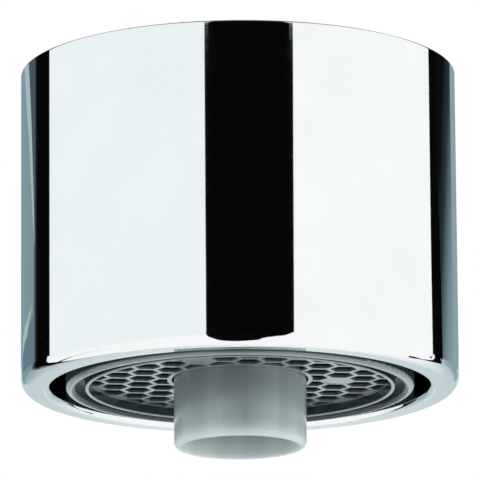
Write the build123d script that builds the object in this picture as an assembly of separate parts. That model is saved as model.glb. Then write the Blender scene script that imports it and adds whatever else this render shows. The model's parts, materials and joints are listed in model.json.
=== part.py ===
from build123d import *
import math
import os

# A two-way tap aerator, upright on the Z axis, in millimetres.
# The origin is the centre of the sealing plane, where the end of the spout meets the washer.
# The spout comes in from +Z, and the water leaves towards -Z.

# Housing
THREAD_DIAMETER = 22.0      # M22 x 1 internal thread, bored to its major diameter
THREAD_LENGTH = 6.1
THREAD_DEPTH = 0.5          # from the thread's major radius to the plain bore below it
LEAD_IN = 0.4
HOUSING_WALL = 1.25
LEDGE_WIDTH = 0.55
LEDGE_THICKNESS = 1.2
AIR_GAP = 0.85              # open ring between the casing and the lower bore
LIP_ROUND = 0.7
LIP_INNER_ROUND = 0.35
TOP_ROUND = 0.1

# Washer
WASHER_THICKNESS = 1.6
WASHER_WIDTH = 1.95

# Clearances
SEAT_CLEARANCE = 0.15       # washer and flanges in the seat bore
CASING_CLEARANCE = 0.2      # casing through the ledge
PUSH_FIT = 0.05             # pieces pushed into the casing
TUBE_CLEARANCE = 0.125      # pieces around the tube
SKIRT_CLEARANCE = 0.1       # honeycomb skirt through the casing's shoulder
SEAL_CLEARANCE = 0.02       # O-ring over the floor of its groove

# Insert casing
CASING_WALL = 0.5
CASING_FLANGE = 0.6
RIM_WIDTH = 0.57
RIM_ROUND = 0.25
SHOULDER_THICKNESS = 0.7
BEAD_HEIGHT = 0.4
BEAD_DEPTH = 0.15
WINDOW_COUNT = 8
WINDOW_WIDTH = 4.0
WINDOW_HEIGHT = 1.3
WINDOW_MARGIN = 0.3

# Jet plate
JET_FLANGE = 0.6
CUP_DEPTH = 3.0
CUP_WALL = 0.5
JET_THICKNESS = 1.0
JET_COUNT = 18
JET_DIAMETER = 0.9

# Strainer
STRAINER_HEIGHT = 1.3
STRAINER_PLATE = 0.45
STRAINER_RIM = 0.5
SLOT_COUNT = 26
SLOT_ROWS = 2
SLOT_WIDTH = 0.6
SLOT_BRIDGE = 0.4           # solid band between two rows of slots

# Mixing grids
GRID_HEIGHT = 0.9
GRID_WEB = 0.5
GRID_RIM = 0.45
SPOKE_COUNT = 15
SPOKE_WIDTH = 0.4

# Honeycomb
CELL_PITCH = 1.58
CELL_WALL = 0.26
CELL_DEPTH = 2.0
CELL_RECESS = 0.63          # cells above the housing's lip
CELL_ANGLE = 35.76          # direction of one row of cells, in degrees from +X
MIN_CELL_SHARE = 0.2        # a cell cut by the edge to less than this stays closed
GATE_COUNT = 3
GATE_STEPS = 2 * math.sqrt(3)    # closed cells at the moulding gates, in pitches from the axis
HONEYCOMB_FLANGE = 1.1
SKIRT_GAP = 0.5             # open channel between the skirt and the casing's rim
SKIRT_WALL = 0.23
SKIRT_RECESS = 0.08         # skirt above the housing's lip
SKIRT_ROUND = 0.09
COLLAR_WALL = 0.24

# Outlet tube and its seal
TUBE_DIAMETER = 7.42
TUBE_REACH = 3.23           # tube end below the housing's lip
MOUTH_WALL = 0.365
MOUTH_ROUND = 0.33
BORE_DIAMETER = 6.1         # at the spigot; it widens to the mouth
SPIGOT_STEP = 0.79
SPIGOT_RECESS = 0.2         # spigot end below the sealing plane
SPIGOT_LAND = 0.6           # above the groove
SPIGOT_BREAK = 0.3
TUBE_COLLAR_STEP = 0.6
SEAL_SECTION = 1.0
SEAL_PROUD = 0.18
GROOVE_CLEARANCE = 0.2

# Radii, from the thread inwards
thread_radius = THREAD_DIAMETER / 2
housing_radius = thread_radius + HOUSING_WALL
seat_radius = thread_radius - THREAD_DEPTH
flange_radius = seat_radius - SEAT_CLEARANCE
washer_inner = flange_radius - WASHER_WIDTH
ledge_radius = seat_radius - LEDGE_WIDTH
casing_radius = ledge_radius - CASING_CLEARANCE
lower_bore = casing_radius + AIR_GAP
casing_inner = casing_radius - CASING_WALL
rim_inner = casing_radius - RIM_WIDTH
insert_radius = casing_inner - PUSH_FIT
skirt_radius = rim_inner - SKIRT_GAP
skirt_inner = skirt_radius - SKIRT_WALL
shoulder_inner = skirt_radius + SKIRT_CLEARANCE
cup_inner = insert_radius - CUP_WALL
strainer_radius = cup_inner - PUSH_FIT

# Radii, from the tube outwards
tube_radius = TUBE_DIAMETER / 2
mouth_radius = tube_radius - MOUTH_WALL
bore_radius = BORE_DIAMETER / 2
hub_bore = tube_radius + TUBE_CLEARANCE
collar_radius = hub_bore + COLLAR_WALL
spigot_radius = tube_radius + SPIGOT_STEP
groove_radius = spigot_radius + SEAL_PROUD - SEAL_SECTION
tube_collar = spigot_radius + TUBE_COLLAR_STEP
strainer_inner = tube_collar + PUSH_FIT
jet_circle = (strainer_inner + strainer_radius) / 2

# Levels, from the sealing plane at zero downwards
thread_top = THREAD_LENGTH
mouth_top = thread_top + LEAD_IN
spigot_top = -SPIGOT_RECESS
washer_bottom = -WASHER_THICKNESS
casing_top = washer_bottom - JET_FLANGE
ledge_top = casing_top - CASING_FLANGE
ledge_bottom = ledge_top - LEDGE_THICKNESS
jet_bottom = casing_top - CUP_DEPTH
jet_top = jet_bottom + JET_THICKNESS
strainer_top = jet_top + STRAINER_HEIGHT
window_top = jet_bottom - WINDOW_MARGIN
window_bottom = window_top - WINDOW_HEIGHT
bead_top = window_bottom - PUSH_FIT
bead_bottom = bead_top - BEAD_HEIGHT
upper_grid_bottom = bead_bottom - GRID_HEIGHT
honeycomb_top = upper_grid_bottom - GRID_HEIGHT
honeycomb_bottom = honeycomb_top - CELL_DEPTH
shoulder_top = honeycomb_top - HONEYCOMB_FLANGE
shoulder_bottom = shoulder_top - SHOULDER_THICKNESS
lip_level = honeycomb_bottom - CELL_RECESS
casing_bottom = lip_level
skirt_bottom = lip_level + SKIRT_RECESS
tube_end = lip_level - TUBE_REACH
groove_top = spigot_top - SPIGOT_LAND
groove_bottom = groove_top - SEAL_SECTION - GROOVE_CLEARANCE


def turned(*outline):
    """Solid of revolution about Z from (radius, level) corners."""
    return revolve(make_face(Plane.XZ * Polyline(*outline, close=True)), Axis.Z)


def ring(outer, inner, bottom, top):
    """Plain ring between two radii and two levels."""
    return Pos(0, 0, bottom) * extrude(Circle(outer) - Circle(inner), top - bottom)


def rims_at(solid, level):
    """Circular edges of a turned solid at one level, from the inside out."""
    circles = solid.edges().filter_by(GeomType.CIRCLE)
    return circles.filter_by_position(Axis.Z, level, level).sort_by(SortBy.RADIUS)


def make_housing():
    body = turned(
        (lower_bore, lip_level),
        (housing_radius, lip_level),
        (housing_radius, mouth_top),
        (thread_radius + LEAD_IN, mouth_top),
        (thread_radius, thread_top),
        (thread_radius, 0),
        (seat_radius, 0),
        (seat_radius, ledge_top),
        (ledge_radius, ledge_top),
        (ledge_radius, ledge_bottom),
        (lower_bore, ledge_bottom),
    )
    body = fillet(rims_at(body, lip_level)[-1], LIP_ROUND)
    body = fillet(rims_at(body, lip_level)[0], LIP_INNER_ROUND)
    return fillet(rims_at(body, mouth_top)[-1], TOP_ROUND)


def make_washer():
    return ring(flange_radius, washer_inner, washer_bottom, 0)


def make_casing():
    body = turned(
        (rim_inner, casing_bottom),
        (casing_radius, casing_bottom),
        (casing_radius, ledge_top),
        (flange_radius, ledge_top),
        (flange_radius, casing_top),
        (casing_inner, casing_top),
        (casing_inner, bead_top),
        (casing_inner - BEAD_DEPTH, (bead_top + bead_bottom) / 2),
        (casing_inner, bead_bottom),
        (casing_inner, shoulder_top),
        (shoulder_inner, shoulder_top),
        (shoulder_inner, shoulder_bottom),
        (rim_inner, shoulder_bottom),
    )
    body = fillet(rims_at(body, casing_bottom), RIM_ROUND)
    window = Box(WINDOW_WIDTH, WINDOW_WIDTH, WINDOW_HEIGHT)
    middle = (window_top + window_bottom) / 2
    return body - [Pos(0, 0, middle) * place * window for place in PolarLocations(casing_radius, WINDOW_COUNT)]


def make_jet_plate():
    cup = turned(
        (hub_bore, jet_bottom),
        (insert_radius, jet_bottom),
        (insert_radius, casing_top),
        (flange_radius, casing_top),
        (flange_radius, washer_bottom),
        (cup_inner, washer_bottom),
        (cup_inner, jet_top),
        (hub_bore, jet_top),
    )
    jet = Pos(0, 0, jet_bottom) * Cylinder(JET_DIAMETER / 2, 2 * JET_THICKNESS)
    return cup - [place * jet for place in PolarLocations(jet_circle, JET_COUNT)]


def make_strainer():
    plate_bottom = strainer_top - STRAINER_PLATE
    inner_rim = strainer_inner + STRAINER_RIM
    outer_rim = strainer_radius - STRAINER_RIM
    cap = turned(
        (strainer_inner, jet_top),
        (inner_rim, jet_top),
        (inner_rim, plate_bottom),
        (outer_rim, plate_bottom),
        (outer_rim, jet_top),
        (strainer_radius, jet_top),
        (strainer_radius, strainer_top),
        (strainer_inner, strainer_top),
    )
    row_pitch = (outer_rim - inner_rim) / SLOT_ROWS
    slot = Pos(0, 0, plate_bottom) * Box(row_pitch - SLOT_BRIDGE, SLOT_WIDTH, 3 * STRAINER_PLATE)
    slots = []
    for row in range(SLOT_ROWS):
        radius = inner_rim + (row + 0.5) * row_pitch
        first = 180 * row / SLOT_COUNT
        slots += [place * slot for place in PolarLocations(radius, SLOT_COUNT, start_angle=first)]
    return cap - slots


def make_grid(bottom, first_angle):
    top = bottom + GRID_HEIGHT
    rim_inside = insert_radius - GRID_RIM
    hub_outside = hub_bore + GRID_RIM
    rings = ring(insert_radius, rim_inside, bottom, top) + ring(hub_outside, hub_bore, bottom, top)
    spoke_length = rim_inside - hub_outside + GRID_RIM
    spoke = Pos(0, 0, top - GRID_WEB / 2) * Box(spoke_length, SPOKE_WIDTH, GRID_WEB)
    middle = (rim_inside + hub_outside) / 2
    return rings + [place * spoke for place in PolarLocations(middle, SPOKE_COUNT, start_angle=first_angle)]


def polar(radius, degrees):
    return radius * math.cos(math.radians(degrees)), radius * math.sin(math.radians(degrees))


def cell_centres():
    """Centres of the hexagonal lattice, with one cell on the axis and the gate cells left out."""
    reach = math.ceil(2 * skirt_radius / CELL_PITCH)
    gate_angle = CELL_ANGLE - 30
    gates = [polar(GATE_STEPS * CELL_PITCH, gate_angle + 360 * i / GATE_COUNT) for i in range(GATE_COUNT)]
    along_x, along_y = polar(CELL_PITCH, CELL_ANGLE)
    across_x, across_y = polar(CELL_PITCH, CELL_ANGLE + 60)
    centres = []
    for i in range(-reach, reach + 1):
        for j in range(-reach, reach + 1):
            centre = (i * along_x + j * across_x, i * along_y + j * across_y)
            if all(math.dist(centre, gate) > CELL_PITCH / 2 for gate in gates):
                centres.append(centre)
    return [c for c in centres if collar_radius - CELL_PITCH < math.hypot(*c) < skirt_inner + CELL_PITCH]


def make_honeycomb():
    field = Circle(skirt_inner) - Circle(collar_radius)
    cell = RegularPolygon((CELL_PITCH - CELL_WALL) / 2, 6, major_radius=False, rotation=CELL_ANGLE + 30)
    openings = Sketch()
    for centre in cell_centres():
        opening = field & (Pos(*centre) * cell)
        if opening and opening.area > MIN_CELL_SHARE * cell.area:
            openings += opening
    web = Circle(skirt_radius) - Circle(hub_bore) - openings
    body = Pos(0, 0, honeycomb_bottom) * extrude(web, CELL_DEPTH)
    skirt = ring(skirt_radius, skirt_inner, skirt_bottom, honeycomb_bottom)
    skirt = fillet(rims_at(skirt, skirt_bottom), SKIRT_ROUND)
    flange = ring(insert_radius, skirt_inner, shoulder_top, honeycomb_top)
    return body + skirt + flange


def make_tube():
    body = turned(
        (mouth_radius, tube_end),
        (tube_radius, tube_end),
        (tube_radius, jet_top),
        (tube_collar, jet_top),
        (tube_collar, strainer_top),
        (spigot_radius, strainer_top),
        (spigot_radius, groove_bottom),
        (groove_radius, groove_bottom),
        (groove_radius, groove_top),
        (spigot_radius, groove_top),
        (spigot_radius, spigot_top),
        (bore_radius, spigot_top),
    )
    body = fillet(rims_at(body, tube_end)[-1], MOUTH_ROUND)
    return chamfer(rims_at(body, spigot_top)[-1], SPIGOT_BREAK)


def make_seal():
    level = (groove_top + groove_bottom) / 2
    return Pos(0, 0, level) * Torus(groove_radius + SEAL_CLEARANCE + SEAL_SECTION / 2, SEAL_SECTION / 2)


pieces = {
    "housing": make_housing(),
    "sealing_washer": make_washer(),
    "insert_casing": make_casing(),
    "jet_plate": make_jet_plate(),
    "strainer": make_strainer(),
    "mixing_grid_upper": make_grid(upper_grid_bottom, 0),
    "mixing_grid_lower": make_grid(honeycomb_top, 180 / SPOKE_COUNT),
    "honeycomb_straightener": make_honeycomb(),
    "outlet_tube": make_tube(),
    "tube_seal": make_seal(),
}

os.makedirs("parts", exist_ok=True)
for name, solid in pieces.items():
    export_step(solid, f"parts/{name}.step")
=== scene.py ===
import json
import math

import bmesh
import bpy
from mathutils import Matrix, Vector


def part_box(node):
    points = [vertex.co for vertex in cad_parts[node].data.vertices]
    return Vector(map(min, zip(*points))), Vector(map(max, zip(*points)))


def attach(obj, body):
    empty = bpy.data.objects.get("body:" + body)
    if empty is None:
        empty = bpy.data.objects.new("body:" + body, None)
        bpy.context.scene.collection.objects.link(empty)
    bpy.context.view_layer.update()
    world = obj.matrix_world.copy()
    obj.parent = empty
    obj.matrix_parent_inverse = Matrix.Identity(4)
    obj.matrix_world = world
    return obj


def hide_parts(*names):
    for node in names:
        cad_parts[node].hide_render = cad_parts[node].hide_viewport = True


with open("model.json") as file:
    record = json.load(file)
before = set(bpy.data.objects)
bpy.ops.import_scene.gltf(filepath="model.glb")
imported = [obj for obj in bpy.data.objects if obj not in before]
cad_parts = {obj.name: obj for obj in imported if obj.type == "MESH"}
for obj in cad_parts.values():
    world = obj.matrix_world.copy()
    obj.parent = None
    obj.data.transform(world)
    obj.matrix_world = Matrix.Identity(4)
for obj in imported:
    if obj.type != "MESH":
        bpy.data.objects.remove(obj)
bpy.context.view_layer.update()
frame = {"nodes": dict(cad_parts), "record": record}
nodes = frame["nodes"]

MM = 0.001

# Spout thread
THREAD_PITCH = 1.0 * MM
THREAD_HEIGHT = 0.54 * MM
RIDGE_BASE = 0.875 * MM
RIDGE_CREST = 0.25 * MM
RIDGE_SINK = 0.03 * MM
STEPS_PER_TURN = 96
FADE_TURNS = 0.3

# Honeycomb, with its lengths in millimetres
EDGE_ROUND = 0.12
ROUND_SEGMENTS = 4
ROUND_PROFILE = 0.5
WELD_GAP = 0.002
FLAT_ANGLE = math.radians(0.2)
SMOOTH_ANGLE = math.radians(35)

# Slope of a face, as the height of its unit normal
LOOKS_DOWN = -0.99
UPRIGHT = 0.01
LEVEL_DIGITS = 5            # faces within a hundredth of a millimetre share a level

# Painted light from below, a paler tone under a glossy coat: on faces that slope this far down, and on the
# walls at the cells' mouths
UNDERSIDE_LIGHT_START = 0.0
UNDERSIDE_LIGHT_FULL = -0.6
COAT_ROUGHNESS = 0.2
MOUTH_DEPTH = 0.22 * MM
MOUTH_EDGE = 0.04 * MM
INWARD_FULL = -2.0 * MM     # outward normal times radius, on a face that looks towards the axis

# Tones of the finishes, each a darker and a paler one
CHROME_TONES = ((0.9, 0.915, 0.92), (0.94, 0.95, 0.955))
# Casing: a tone darker than its mid-grey plastic, painted shade on faces that do not look down, and a paler
# one, painted light on faces that do
CASING_SHADED_TONES = ((0.03, 0.042, 0.046), (0.042, 0.055, 0.06))
CASING_UNDERSIDE_LIGHT = ((0.2, 0.255, 0.27), (0.255, 0.31, 0.325))
INSERT_TONES = ((0.016, 0.022, 0.024), (0.022, 0.03, 0.033))
# Insert: a paler tone, painted light from below, on faces that look down and at the cells' mouths
INSERT_UNDERSIDE_LIGHT = ((0.19, 0.235, 0.245), (0.24, 0.285, 0.295))
TUBE_TONES = ((0.32, 0.39, 0.395), (0.45, 0.52, 0.525))
# Tube: paler tones at its foot and in its lower bore, painted light from below
TUBE_FOOT_LIGHT_TONES = ((0.52, 0.6, 0.59), (0.6, 0.67, 0.66))
TUBE_BORE_LIGHT_TONES = ((0.64, 0.72, 0.71), (0.74, 0.81, 0.8))
STRAINER_TONES = ((0.7, 0.71, 0.7), (0.78, 0.79, 0.77))
RUBBER_TONES = ((0.012, 0.012, 0.013), (0.028, 0.028, 0.03))
FLOOR_TONES = ((0.75, 0.76, 0.77), (0.79, 0.795, 0.8))
PLASTIC_SHEEN = (0.75, 0.95, 1.0, 1)

# Roughness of the finishes, from the smoother to the duller spots
CHROME_ROUGHNESS = (0.015, 0.04)
SATIN_ROUGHNESS = (0.2, 0.3)
STRAINER_ROUGHNESS = (0.4, 0.5)
TUBE_ROUGHNESS = (0.08, 0.16)
RUBBER_ROUGHNESS = (0.55, 0.75)
FLOOR_ROUGHNESS = 0.9

# Surface detail: noise in cycles per metre, its stretch along the axis, and the depth and strength of grain
NOISE_LOW, NOISE_HIGH = 0.3, 0.7
CHROME_HAZE = 300
POLISHING_MARKS = 250
MARKS_STRETCH = (1, 1, 60)
PLASTIC_CLOUD = 350
PLASTIC_GRAIN = 9000
PLASTIC_GRAIN_DEPTH = 0.02 * MM
SATIN_GRAIN = 0.05
STRAINER_GRAIN = 0.15
TUBE_STREAKS = 700
STREAKS_STRETCH = (1, 1, 0.06)
TUBE_GLOW_DEPTH = 0.8 * MM
RUBBER_CLOUD = 500
RUBBER_GRAIN = 6000
RUBBER_GRAIN_DEPTH = 0.03 * MM
RUBBER_GRAIN_STRENGTH = 0.3
FLOOR_CLOUD = 3

# Tones of the tube, by the drop below the housing's lip: painted light from below, palest at its foot
TUBE_FOOT_DROP = 3.3 * MM
TUBE_WALL_DROP = 2.2 * MM
TUBE_BORE_DROP = 0.9 * MM

# Camera, below the part and looking up at it
CAMERA_DISTANCE = 373.1 * MM
CAMERA_RISE = math.radians(13.267)
CAMERA_ROLL = math.radians(0.407)
CAMERA_SIDE = 0.056 * MM
AIM_ABOVE_LIP = 8.665 * MM
LENS_MM = 497.7
SENSOR_MM = 36
CLIP_START = 10 * MM

# Studio: distances in metres, directions as azimuth and elevation in degrees
FLOOR_LEVEL = -0.6
FLOOR_SIZE = 16.0
CARD_DISTANCE = 0.55
PANEL_DISTANCE = 0.6
BACK_DISTANCE = 0.34
BACK_LAYER = 0.005          # between cards that overlap at the back
SHADE_DISTANCE = 0.3
SHADE_HALF_WIDTH = 27
SHADE_TOP, SHADE_FOOT = 3, -48
FLAG_DROP = 0.594
CARD_TOP = 45
PANEL_FOOT = -29
PANEL_CORNER = -27          # foot of the right panel at its far end
BACK = (180, 0)
BELOW = (0, -90)

# Tones of the studio
WHITE = (1, 1, 1)
BACK_WHITE = (0.95, 0.97, 0.98)
BACK_LOW = (0.72, 0.79, 0.81)
BACK_CENTRE = (0.56, 0.65, 0.68)
BACK_SIDE = (0.34, 0.45, 0.51)
BACK_DUSK = (0.05, 0.065, 0.075)
BACK_DARK = (0.004, 0.004, 0.005)
FILL_TONE = (0.95, 0.98, 1.0)
FILL_LEVEL = 0.55
CEILING_LEVEL = 0.12

# Sockets of the node that mixes two colours
MIX_FACTOR, MIX_FIRST, MIX_SECOND, MIX_RESULT = 0, 6, 7, 2


def widest_lower_face(node):
    """Level of the node's faces that look straight down and are largest together."""
    areas = {}
    for face in node.data.polygons:
        if face.normal.z < LOOKS_DOWN:
            level = round(face.center.z, LEVEL_DIGITS)
            areas[level] = areas.get(level, 0.0) + face.area
    return max(areas, key=areas.get)


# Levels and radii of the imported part
housing_low, housing_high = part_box("housing")
lip_level = housing_low.z
cell_level = widest_lower_face(nodes["honeycomb_straightener"])
thread_mount = next(mount for mount in frame["record"]["mounts"] if mount["name"] == "spout_thread")
thread_radius = thread_mount["dims"]["r_mm"] * MM
thread_length = thread_mount["dims"]["length_mm"] * MM


def new_material(name):
    """New surface material, with its node tree and its shader."""
    material = bpy.data.materials.new(name)
    material.use_nodes = True
    tree = material.node_tree
    return material, tree, tree.nodes["Principled BSDF"]


def add_node(tree, kind, **values):
    """New node, with each value set on the socket or the property of that name."""
    node = tree.nodes.new(kind)
    for key, value in values.items():
        if key in node.inputs:
            node.inputs[key].default_value = value
        else:
            setattr(node, key, value)
    return node


def noise(tree, scale, detail, stretch=(1, 1, 1)):
    """Noise over object coordinates, with scale in cycles per metre."""
    coords = add_node(tree, "ShaderNodeTexCoord")
    mapping = add_node(tree, "ShaderNodeMapping", Scale=stretch)
    texture = add_node(tree, "ShaderNodeTexNoise", Scale=scale, Detail=detail)
    tree.links.new(coords.outputs["Object"], mapping.inputs["Vector"])
    tree.links.new(mapping.outputs["Vector"], texture.inputs["Vector"])
    return texture.outputs["Fac"]


def rescale(tree, source, start, end, interpolation="LINEAR"):
    """Node that maps the range from start to end onto 0 to 1."""
    node = add_node(tree, "ShaderNodeMapRange", interpolation_type=interpolation)
    node.inputs["From Min"].default_value = start
    node.inputs["From Max"].default_value = end
    tree.links.new(source, node.inputs["Value"])
    return node


def spread(tree, source, limits):
    """Maps a noise value onto the range between two limits."""
    low, high = limits
    node = rescale(tree, source, NOISE_LOW, NOISE_HIGH)
    node.inputs["To Min"].default_value = low
    node.inputs["To Max"].default_value = high
    return node.outputs["Result"]


def tint(tree, source, tones):
    """Colour that wanders between two tones with a noise value."""
    ramp = add_node(tree, "ShaderNodeValToRGB")
    for element, place, tone in zip(ramp.color_ramp.elements, (NOISE_LOW, NOISE_HIGH), tones):
        element.position = place
        element.color = (*tone, 1)
    tree.links.new(source, ramp.inputs["Fac"])
    return ramp.outputs["Color"]


def bump(tree, shader, source, strength, depth):
    """Fine grain on the surface, from a noise value."""
    node = add_node(tree, "ShaderNodeBump", Strength=strength, Distance=depth)
    tree.links.new(source, node.inputs["Height"])
    tree.links.new(node.outputs["Normal"], shader.inputs["Normal"])


def blend(tree, factor, first, second):
    """Mix of two colours; a factor of 1 gives the second."""
    node = add_node(tree, "ShaderNodeMix", data_type="RGBA")
    for source, place in ((factor, MIX_FACTOR), (first, MIX_FIRST), (second, MIX_SECOND)):
        if isinstance(source, tuple):
            node.inputs[place].default_value = (*source, 1)
        else:
            tree.links.new(source, node.inputs[place])
    return node.outputs[MIX_RESULT]


def combine(tree, operation, first, second):
    """One value from two, kept between 0 and 1."""
    node = add_node(tree, "ShaderNodeMath", operation=operation, use_clamp=True)
    tree.links.new(first, node.inputs[0])
    tree.links.new(second, node.inputs[1])
    return node.outputs["Value"]


def smooth_along_z(tree, coordinates, start, end):
    """Rises smoothly from 0 at start to 1 at end, along the height of the position or of the normal."""
    coords = add_node(tree, "ShaderNodeTexCoord")
    split = add_node(tree, "ShaderNodeSeparateXYZ")
    tree.links.new(coords.outputs[coordinates], split.inputs["Vector"])
    return rescale(tree, split.outputs["Z"], start, end, "SMOOTHSTEP").outputs["Result"]


def fade_down(tree, high, low):
    """Rises smoothly from 0 at the higher level to 1 at the lower one."""
    return smooth_along_z(tree, "Object", high, low)


def facing_axis(tree):
    """1 on surfaces that look towards the axis, such as the wall of a bore, and 0 elsewhere."""
    coords = add_node(tree, "ShaderNodeTexCoord")
    level = add_node(tree, "ShaderNodeVectorMath", operation="MULTIPLY")
    level.inputs[1].default_value = (1, 1, 0)
    tree.links.new(coords.outputs["Object"], level.inputs[0])
    outward = add_node(tree, "ShaderNodeVectorMath", operation="DOT_PRODUCT")
    tree.links.new(level.outputs["Vector"], outward.inputs[0])
    tree.links.new(coords.outputs["Normal"], outward.inputs[1])
    return rescale(tree, outward.outputs["Value"], 0.0, INWARD_FULL).outputs["Result"]


def painted_underside_light(tree, mouth_level):
    """1 where light from below is painted in as a paler tone, and 0 elsewhere.

    With cells, that is on faces that look down and on the walls at the cells' mouths. Without cells, it is on
    faces that look down and not towards the axis.
    """
    down = smooth_along_z(tree, "Normal", UNDERSIDE_LIGHT_START, UNDERSIDE_LIGHT_FULL)
    if mouth_level is None:
        return combine(tree, "SUBTRACT", down, facing_axis(tree))
    inside = fade_down(tree, mouth_level + MOUTH_DEPTH, mouth_level)
    above = fade_down(tree, mouth_level - MOUTH_EDGE, mouth_level)
    mouths = combine(tree, "MULTIPLY", inside, above)
    return combine(tree, "MAXIMUM", down, mouths)


def moulded_plastic(name, tones, roughness, grain, underside_light_tones=None, mouth_level=None):
    """Moulded plastic: a faint cloud of tone, a fine grain, uneven gloss and maybe a glossy coat over a paler
    tone, painted light from below.
    """
    material, tree, shader = new_material(name)
    cloud = noise(tree, PLASTIC_CLOUD, detail=3.0)
    fine = noise(tree, PLASTIC_GRAIN, detail=2.0)
    color = tint(tree, cloud, tones)
    # painted light: faces that look down, and the cells' mouths, get a paler tone and a glossy coat
    if underside_light_tones:
        lit_underside = painted_underside_light(tree, mouth_level)
        color = blend(tree, lit_underside, color, tint(tree, cloud, underside_light_tones))
        tree.links.new(lit_underside, shader.inputs["Coat Weight"])
        shader.inputs["Coat Roughness"].default_value = COAT_ROUGHNESS
        shader.inputs["Specular Tint"].default_value = PLASTIC_SHEEN
    tree.links.new(color, shader.inputs["Base Color"])
    tree.links.new(spread(tree, cloud, roughness), shader.inputs["Roughness"])
    bump(tree, shader, fine, grain, PLASTIC_GRAIN_DEPTH)
    return material


def tube_plastic():
    """Slightly translucent, glossy plastic with soft streaks along the axis, painted paler towards the tube's
    foot and in its lower bore, as light from below.
    """
    material, tree, shader = new_material("tube_plastic_finish")
    foot_level = lip_level - TUBE_FOOT_DROP
    streaks = noise(tree, TUBE_STREAKS, detail=2.0, stretch=STREAKS_STRETCH)
    body = tint(tree, streaks, TUBE_TONES)
    mouth = tint(tree, streaks, TUBE_FOOT_LIGHT_TONES)
    bore = tint(tree, streaks, TUBE_BORE_LIGHT_TONES)
    # painted light: the wall pales towards the foot, and the bore pales below
    wall = blend(tree, fade_down(tree, lip_level - TUBE_WALL_DROP, foot_level), body, mouth)
    down_bore = fade_down(tree, lip_level - TUBE_BORE_DROP, foot_level)
    lower_bore = combine(tree, "MULTIPLY", facing_axis(tree), down_bore)
    tree.links.new(blend(tree, lower_bore, wall, bore), shader.inputs["Base Color"])
    tree.links.new(spread(tree, streaks, TUBE_ROUGHNESS), shader.inputs["Roughness"])
    shader.inputs["Subsurface Weight"].default_value = 1.0
    shader.inputs["Subsurface Radius"].default_value = WHITE
    shader.inputs["Subsurface Scale"].default_value = TUBE_GLOW_DEPTH
    return material


def chrome():
    """Polished chrome plate with faint polishing marks round the sleeve."""
    material, tree, shader = new_material("chromed_brass_finish")
    shader.inputs["Metallic"].default_value = 1.0
    haze = noise(tree, CHROME_HAZE, detail=3.0)
    marks = noise(tree, POLISHING_MARKS, detail=2.0, stretch=MARKS_STRETCH)
    tree.links.new(tint(tree, haze, CHROME_TONES), shader.inputs["Base Color"])
    tree.links.new(spread(tree, marks, CHROME_ROUGHNESS), shader.inputs["Roughness"])
    return material


def rubber():
    """Matt black rubber with a fine grain."""
    material, tree, shader = new_material("seal_rubber_finish")
    cloud = noise(tree, RUBBER_CLOUD, detail=4.0)
    fine = noise(tree, RUBBER_GRAIN, detail=3.0)
    tree.links.new(tint(tree, cloud, RUBBER_TONES), shader.inputs["Base Color"])
    tree.links.new(spread(tree, fine, RUBBER_ROUGHNESS), shader.inputs["Roughness"])
    bump(tree, shader, fine, RUBBER_GRAIN_STRENGTH, RUBBER_GRAIN_DEPTH)
    return material


finishes = {
    "chromed_brass": chrome(),
    "casing_plastic": moulded_plastic(
        "casing_plastic_finish", CASING_SHADED_TONES, SATIN_ROUGHNESS, SATIN_GRAIN, CASING_UNDERSIDE_LIGHT,
    ),
    "insert_plastic": moulded_plastic(
        "insert_plastic_finish", INSERT_TONES, SATIN_ROUGHNESS, SATIN_GRAIN, INSERT_UNDERSIDE_LIGHT, cell_level,
    ),
    "tube_plastic": tube_plastic(),
    "strainer_plastic": moulded_plastic(
        "strainer_plastic_finish", STRAINER_TONES, STRAINER_ROUGHNESS, STRAINER_GRAIN,
    ),
    "seal_rubber": rubber(),
}
for subpart in frame["record"]["subparts"]:
    for slot in nodes[subpart["node"]].material_slots:
        slot.material = finishes[subpart["material_slot"]]


def add_piece(name, mesh, slot):
    """New piece of the part from a built mesh, with the finish of a slot."""
    data = bpy.data.meshes.new(name)
    mesh.to_mesh(data)
    mesh.free()
    data.materials.append(finishes[slot])
    piece = bpy.data.objects.new(name, data)
    bpy.context.scene.collection.objects.link(piece)
    return piece


def make_thread():
    """Helical ridge of the spout thread, which fades out at both ends."""
    mesh = bmesh.new()
    turns = (thread_length - RIDGE_BASE) / THREAD_PITCH
    steps = round(turns * STEPS_PER_TURN)
    base = thread_radius + RIDGE_SINK
    rows = []
    for i in range(steps + 1):
        turn = i / STEPS_PER_TURN
        fade = max(0.0, min(1.0, turn / FADE_TURNS, (turns - turn) / FADE_TURNS))
        level = RIDGE_BASE / 2 + turn * THREAD_PITCH
        crest = thread_radius - THREAD_HEIGHT * fade
        section = (
            (base, -RIDGE_BASE / 2),
            (crest, -RIDGE_CREST / 2),
            (crest, RIDGE_CREST / 2),
            (base, RIDGE_BASE / 2),
        )
        angle = 2 * math.pi * turn
        rows.append([
            mesh.verts.new((r * math.cos(angle), r * math.sin(angle), level + z)) for r, z in section
        ])
    for near, far in zip(rows, rows[1:]):
        for k in range(len(near)):
            following = (k + 1) % len(near)
            mesh.faces.new((near[k], near[following], far[following], far[k]))
    mesh.faces.new(rows[0][::-1])
    mesh.faces.new(rows[-1])
    bmesh.ops.recalc_face_normals(mesh, faces=mesh.faces)
    piece = add_piece("spout_thread", mesh, "chromed_brass")
    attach(piece, "root")


def is_lower_edge(edge):
    """True on an outer edge between a face that looks down and an upright one."""
    if len(edge.link_faces) != 2 or not edge.is_convex:
        return False
    slopes = [face.normal.z for face in edge.link_faces]
    return min(slopes) < LOOKS_DOWN and abs(max(slopes)) < UPRIGHT


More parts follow.
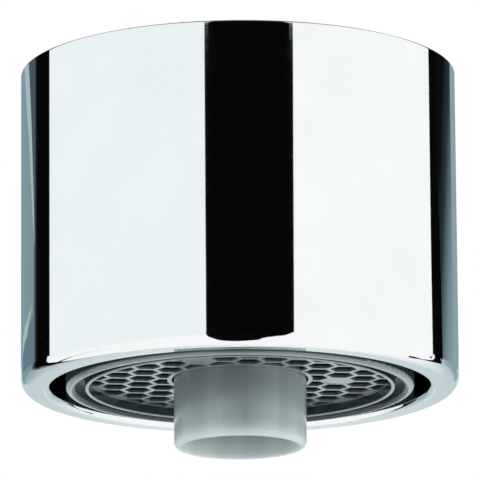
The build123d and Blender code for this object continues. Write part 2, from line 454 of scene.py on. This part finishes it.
def make_honeycomb():
    """The honeycomb with softly rounded lower edges on its walls and skirt."""
    mesh = bmesh.new()
    mesh.from_mesh(nodes["honeycomb_straightener"].data)
    bmesh.ops.scale(mesh, vec=(1 / MM, 1 / MM, 1 / MM), verts=mesh.verts)
    bmesh.ops.remove_doubles(mesh, verts=mesh.verts, dist=WELD_GAP)
    bmesh.ops.dissolve_limit(mesh, angle_limit=FLAT_ANGLE, verts=mesh.verts, edges=mesh.edges)
    bmesh.ops.bevel(
        mesh, geom=[edge for edge in mesh.edges if is_lower_edge(edge)], affect="EDGES", clamp_overlap=True,
        offset=EDGE_ROUND, segments=ROUND_SEGMENTS, profile=ROUND_PROFILE,
    )
    bmesh.ops.scale(mesh, vec=(MM, MM, MM), verts=mesh.verts)
    for face in mesh.faces:
        face.smooth = True
    piece = add_piece("honeycomb_web", mesh, "insert_plastic")
    piece.data.set_sharp_from_angle(angle=SMOOTH_ANGLE)
    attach(piece, "root")
    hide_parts("honeycomb_straightener")


make_thread()
make_honeycomb()


def towards(azimuth, elevation):
    """Direction from the part: azimuth 0 is the camera's side, and 90 is +X."""
    a, e = math.radians(azimuth), math.radians(elevation)
    return Vector((math.sin(a) * math.cos(e), -math.cos(a) * math.cos(e), math.sin(e)))


def glow(name, strength=1.0):
    """New light-giving material, with its node tree and the socket of its colour."""
    material = bpy.data.materials.new(name)
    material.use_nodes = True
    tree = material.node_tree
    tree.nodes.clear()
    out = add_node(tree, "ShaderNodeOutputMaterial")
    light = add_node(tree, "ShaderNodeEmission", Strength=strength)
    tree.links.new(light.outputs["Emission"], out.inputs["Surface"])
    return material, tree, light.inputs["Color"]


def plain_glow(name, color, strength=1.0):
    """Light-giving material of one colour."""
    material, _, socket = glow(name, strength)
    socket.default_value = (*color, 1)
    return material


def ramp_along(tree, axis, low, high, stops):
    """Colour ramp over the position along one axis; each stop is a position and a colour."""
    geometry = add_node(tree, "ShaderNodeNewGeometry")
    split = add_node(tree, "ShaderNodeSeparateXYZ")
    tree.links.new(geometry.outputs["Position"], split.inputs["Vector"])
    place = rescale(tree, split.outputs[axis], low, high)
    ramp = add_node(tree, "ShaderNodeValToRGB")
    while len(ramp.color_ramp.elements) < len(stops):
        ramp.color_ramp.elements.new(0.5)
    for element, (position, color) in zip(ramp.color_ramp.elements, stops):
        element.position = (position - low) / (high - low)
        element.color = (*color, 1)
    tree.links.new(place.outputs["Result"], ramp.inputs["Fac"])
    return ramp.outputs["Color"]


def across_back(tree, side, tones):
    """Tones across one half of the back, each at a share of the card's distance from its middle."""
    reach = 2 * side * BACK_DISTANCE
    stops = [(side * BACK_DISTANCE * place, tone) for place, tone in tones]
    return ramp_along(tree, "X", min(0, reach), max(0, reach), stops[::side])


def up_back(tree, bottom, top, tones):
    """Tones up the back, from bottom to top, each at a share of the card's distance."""
    stops = [(BACK_DISTANCE * place, tone) for place, tone in tones]
    return ramp_along(tree, "Z", bottom * BACK_DISTANCE, top * BACK_DISTANCE, stops)


def greys(levels):
    """Tones from black at level 0 to white at level 1, each with its place."""
    return [(place, (level, level, level)) for place, level in levels]


def back_glow(name, side, high, low, rise):
    """Half of the back: tones across it, high up and lower down, and white towards the floor."""
    material, tree, socket = glow(name)
    lower = up_back(tree, bottom=-0.5, top=0.5, tones=greys([(-0.22, 1.0), (-0.04, 0.0)]))
    whiter = up_back(tree, bottom=-1.5, top=0.0, tones=greys(rise))
    body = blend(tree, lower, across_back(tree, side, high), across_back(tree, side, low))
    tree.links.new(blend(tree, whiter, body, BACK_WHITE), socket)
    return material


def top_shade():
    """Dark above the right half of the back, which fades downwards."""
    material, tree, socket = glow("top_shade")
    tones = [
        (0.2, (0.27, 0.37, 0.42)), (0.25, (0.18, 0.26, 0.31)), (0.286, (0.08, 0.125, 0.15)),
        (0.31, (0.022, 0.038, 0.047)), (0.36, BACK_DARK),
    ]
    tree.links.new(up_back(tree, bottom=0.1, top=0.6, tones=tones), socket)
    return material


def panel_glow(name, tone):
    """Side panel, whiter towards the floor."""
    material, tree, socket = glow(name)
    foot = PANEL_DISTANCE * math.tan(math.radians(PANEL_FOOT))
    tree.links.new(ramp_along(tree, "Z", foot, -foot, [(foot, WHITE), (0.0, tone)]), socket)
    return material


left_white = panel_glow("left_white", (0.9, 0.95, 0.955))
right_white = panel_glow("right_white", (0.99, 1.0, 1.0))
black = plain_glow("black", (0.002, 0.002, 0.002))
dim = plain_glow("dim", (0.9, 1.0, 1.0), strength=0.08)
dark_blue = plain_glow("dark_blue", (0.065, 0.095, 0.118))
low_blue = plain_glow("low_blue", (0.14, 0.2, 0.25))
pale_blue = plain_glow("pale_blue", (0.38, 0.51, 0.54))
pale = plain_glow("pale", BACK_CENTRE)
back_middle = [(0.0, BACK_LOW), (0.03, BACK_LOW), (0.066, BACK_CENTRE), (0.2, BACK_CENTRE)]
left_back = back_glow(
    "left_back", -1,
    high=[(0.0, (0.23, 0.32, 0.37)), (0.88, (0.21, 0.3, 0.35)), (0.98, BACK_DUSK), (1.06, BACK_DARK)],
    low=[*back_middle, (0.5, BACK_SIDE), (0.85, BACK_SIDE), (0.98, BACK_DUSK), (1.06, BACK_DARK)],
    rise=[(-1.3, 0.5), (-0.9, 0.36), (-0.55, 0.2), (-0.33, 0.0)],
)
right_back = back_glow(
    "right_back", 1,
    high=[
        (0.0, (0.25, 0.35, 0.4)), (0.75, (0.27, 0.37, 0.42)), (1.04, (0.4, 0.52, 0.57)),
        (1.18, (0.36, 0.45, 0.5)), (1.24, BACK_DARK),
    ],
    low=[*back_middle, (0.5, (0.5, 0.61, 0.66))],
    rise=[(-1.3, 1.0), (-0.9, 0.85), (-0.55, 0.45), (-0.33, 0.0)],
)


def card(name, material, facing, distance, corners):
    """Flat studio card, out of the camera's sight, given by the directions of its corners."""
    centre = Vector((0, 0, (lip_level + housing_high.z) / 2))
    normal = towards(*facing)
    points = []
    for corner in corners:
        ray = towards(*corner)
        points.append(centre + ray * (distance / ray.dot(normal)))
    data = bpy.data.meshes.new(name)
    data.from_pydata(points, [], [list(range(len(points)))])
    data.materials.append(material)
    obj = bpy.data.objects.new(name, data)
    bpy.context.scene.collection.objects.link(obj)
    obj.visible_camera = False
    obj.visible_transmission = False
    obj.visible_shadow = False
    return obj


# White panels at both sides, and the black flag between them
card("left_panel", left_white, (-70, 0), PANEL_DISTANCE, [
    (-122, CARD_TOP), (-13, CARD_TOP), (-13, PANEL_FOOT), (-122, PANEL_FOOT),
])
card("right_panel", right_white, (75, 0), PANEL_DISTANCE, [
    (25, CARD_TOP), (126, CARD_TOP), (126, PANEL_CORNER), (25, PANEL_FOOT),
])
card("front_flag", black, (6, 0), CARD_DISTANCE, [
    (-15.2, CARD_TOP), (26.8, CARD_TOP), (26.8, 15.74), (28.2, 15.7), (28.9, 15.64), (22.4, -20), (17.5, -34),
    (14, -40), (-16.8, -40), (-17.2, 15.64), (-16.7, 15.7), (-15.2, 15.74),
])
floor_flag = card("floor_flag", black, BELOW, FLAG_DROP, [
    (-16.4, -36), (16, -36), (15, -50), (14, -70), (-8, -79), (-17, -70),
])
floor_flag.visible_diffuse = False
card("left_gap", black, (-100, 0), CARD_DISTANCE, [
    (-125, -28), (-110, -29.5), (-95, -33), (-82, -38),
    (-82, -38.5), (-95, -33.8), (-110, -31.2), (-125, -32),
])

# Back: a black frame, its two halves, and the darker and paler fields and streaks before them
card("back_frame", black, BACK, BACK_DISTANCE + BACK_LAYER, [
    (-119, CARD_TOP), (-118, 0), (-124, -30), (-138, -44), (-150, -52), (-165, -50),
    (165, -50), (150, -50), (138, -44), (126, -38), (117, -35.5), (117, -30.5),
    (122.5, -28), (123.6, -12), (123.2, 4), (120.7, 13), (122.2, CARD_TOP),
])
card("left_back", left_back, BACK, BACK_DISTANCE, [
    (-180, CARD_TOP), (-131, CARD_TOP), (-131, -20), (-134, -34), (-141, -43), (-150, -51), (-165, -58),
    (-180, -60),
])
right_edge = [(129, CARD_TOP), (129, 14.6), (130.5, 13.7), (131.8, 12.8), (132.7, 11.9), (133.2, 11)]
card("right_back", right_back, BACK, BACK_DISTANCE, [
    (180, CARD_TOP), *right_edge, (132.8, 2), (131, -10), (128, -20), (125.5, -30), (128, -38), (139, -48),
    (150, -54), (165, -58), (180, -60),
])
card("back_centre", pale, BACK, BACK_DISTANCE - BACK_LAYER, [
    (-161, 10.5), (161, 10.5), (161, -12), (-161, -12),
])
card("left_top", dark_blue, BACK, BACK_DISTANCE - BACK_LAYER, [
    (-158, CARD_TOP), (-136.6, CARD_TOP), (-136.6, 13), (-138.8, 13.75), (-141.7, 14.45), (-145, 15.15),
    (-148.5, 15.8), (-158, 17),
])
card("left_streak", pale_blue, BACK, BACK_DISTANCE - 2 * BACK_LAYER, [
    (-157, 17.2), (-148, 16.2), (-144.2, 15.55), (-141.2, 14.9), (-138.7, 14.05), (-135.8, 12.85),
    (-139, 13.35), (-142.2, 14.0), (-145.8, 14.7), (-149, 15.0), (-158, 16.2),
])
card("low_streak", pale_blue, BACK, BACK_DISTANCE - 2 * BACK_LAYER, [
    (-161, 11.3), (-149, 11.65), (-139, 11.95), (-149, 11.4), (-161, 11.0),
])
card("left_low", low_blue, BACK, BACK_DISTANCE - BACK_LAYER, [
    (-161, 11.15), (-149, 11.5), (-143, 11.7), (-137, 11.85), (-137, 9), (-161, 9),
])
card("right_top", top_shade(), BACK, BACK_DISTANCE - BACK_LAYER, [
    (152, CARD_TOP), *right_edge, (133.2, 7.5), (152, 10),
])

# Shades that keep the front of the tube dim
for azimuth in (-54, 0):
    left, right = azimuth - SHADE_HALF_WIDTH, azimuth + SHADE_HALF_WIDTH
    shade = card("front_shade", dim, (azimuth, 0), SHADE_DISTANCE, [
        (left, SHADE_TOP), (right, SHADE_TOP), (right, SHADE_FOOT), (left, SHADE_FOOT),
    ])
    shade.visible_glossy = False


def make_floor():
    """Pale floor, which is plain white to every ray but the camera's."""
    material, tree, shader = new_material("floor_paint")
    cloud = noise(tree, FLOOR_CLOUD, detail=2.0)
    tree.links.new(tint(tree, cloud, FLOOR_TONES), shader.inputs["Base Color"])
    shader.inputs["Roughness"].default_value = FLOOR_ROUGHNESS
    white = add_node(tree, "ShaderNodeEmission", Strength=1.0, Color=(*WHITE, 1))
    path = add_node(tree, "ShaderNodeLightPath")
    mix = add_node(tree, "ShaderNodeMixShader")
    tree.links.new(path.outputs["Is Camera Ray"], mix.inputs["Fac"])
    tree.links.new(white.outputs["Emission"], mix.inputs[1])
    tree.links.new(shader.outputs["BSDF"], mix.inputs[2])
    tree.links.new(mix.outputs["Shader"], tree.nodes["Material Output"].inputs["Surface"])
    bpy.ops.mesh.primitive_plane_add(size=FLOOR_SIZE, location=(0, 0, FLOOR_LEVEL))
    floor = bpy.context.object
    floor.name = "floor"
    floor.data.materials.append(material)


def make_world():
    """White to the camera, dark overhead to reflections, and a soft fill for everything else."""
    world = bpy.data.worlds.new("studio")
    bpy.context.scene.world = world
    world.use_nodes = True
    tree = world.node_tree
    tree.nodes.clear()
    out = add_node(tree, "ShaderNodeOutputWorld")
    path = add_node(tree, "ShaderNodeLightPath")
    fill = add_node(tree, "ShaderNodeBackground", Strength=FILL_LEVEL, Color=(*FILL_TONE, 1))
    ceiling = add_node(tree, "ShaderNodeBackground", Strength=CEILING_LEVEL)
    white = add_node(tree, "ShaderNodeBackground", Strength=1.0, Color=(*WHITE, 1))
    by_gloss = add_node(tree, "ShaderNodeMixShader")
    by_camera = add_node(tree, "ShaderNodeMixShader")
    tree.links.new(path.outputs["Is Glossy Ray"], by_gloss.inputs["Fac"])
    tree.links.new(fill.outputs["Background"], by_gloss.inputs[1])
    tree.links.new(ceiling.outputs["Background"], by_gloss.inputs[2])
    tree.links.new(path.outputs["Is Camera Ray"], by_camera.inputs["Fac"])
    tree.links.new(by_gloss.outputs["Shader"], by_camera.inputs[1])
    tree.links.new(white.outputs["Background"], by_camera.inputs[2])
    tree.links.new(by_camera.outputs["Shader"], out.inputs["Surface"])


def lamp(name, direction, distance, size, power):
    """Soft lamp that looks at the part and leaves no reflection of its own."""
    data = bpy.data.lights.new(name, "AREA")
    data.shape = "RECTANGLE"
    data.size, data.size_y = size
    data.energy = power
    obj = bpy.data.objects.new(name, data)
    bpy.context.scene.collection.objects.link(obj)
    obj.location = distance * towards(*direction)
    obj.rotation_euler = (-towards(*direction)).to_track_quat("-Z", "Y").to_euler()
    obj.visible_glossy = False


def make_camera():
    """Camera at the photo's viewing angle, a little tilted about its line of sight."""
    data = bpy.data.cameras.new("photo_camera")
    data.lens = LENS_MM
    data.sensor_width = SENSOR_MM
    data.clip_start = CLIP_START
    camera = bpy.data.objects.new("photo_camera", data)
    bpy.context.scene.collection.objects.link(camera)
    forward = Vector((0, math.cos(CAMERA_RISE), math.sin(CAMERA_RISE)))
    right = Vector((1, 0, 0))
    up = right.cross(forward)
    tilted_right = math.cos(CAMERA_ROLL) * right - math.sin(CAMERA_ROLL) * up
    tilted_up = math.sin(CAMERA_ROLL) * right + math.cos(CAMERA_ROLL) * up
    aim = Vector((CAMERA_SIDE, 0, lip_level + AIM_ABOVE_LIP))
    place = Matrix((tilted_right, tilted_up, -forward)).transposed().to_4x4()
    place.translation = aim - CAMERA_DISTANCE * forward
    camera.matrix_world = place
    bpy.context.scene.camera = camera


make_floor()
make_world()
lamp("top_lamp", direction=(20, 75), distance=0.8, size=(0.6, 0.6), power=6.0)
lamp("left_softbox", direction=(-52, 12), distance=0.6, size=(0.6, 0.28), power=2.7)
lamp("right_softbox", direction=(58, 12), distance=0.6, size=(0.6, 0.28), power=1.8)
make_camera()
bpy.context.scene.view_settings.view_transform = "Standard"
